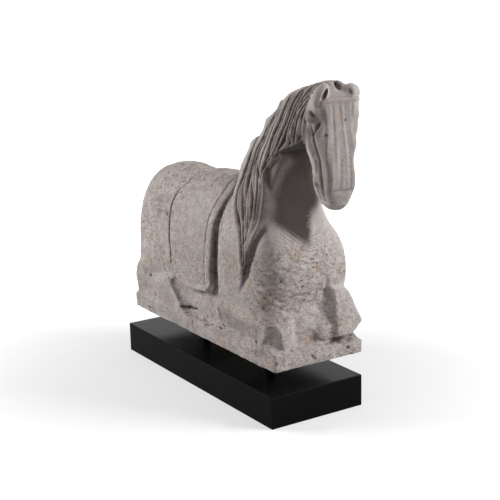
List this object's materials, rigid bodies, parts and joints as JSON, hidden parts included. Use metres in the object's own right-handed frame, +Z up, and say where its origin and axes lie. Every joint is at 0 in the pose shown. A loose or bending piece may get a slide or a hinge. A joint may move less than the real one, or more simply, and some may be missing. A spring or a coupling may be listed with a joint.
{
  "type": "horse statue",
  "caption": "Lying horse carved in pale pitted stone with its slab, held on short posts above a low black plinth.",
  "frame": {"origin": "centre of the plinth's underside", "axes": "+X the way the horse faces, +Y its left side, +Z up"},
  "size_m": [0.8062, 0.2754, 0.772],
  "materials": {
    "pale_stone": "weathered pale stone, pitted, with ochre stains in its recesses",
    "black_lacquer": "satin black lacquer",
    "black_steel": "matt black steel"
  },
  "bodies": {
    "root": {"stone_horse": "pale_stone", "plinth": "black_lacquer", "post_front": "black_steel", "post_rear": "black_steel"}
  },
  "joints": []
}
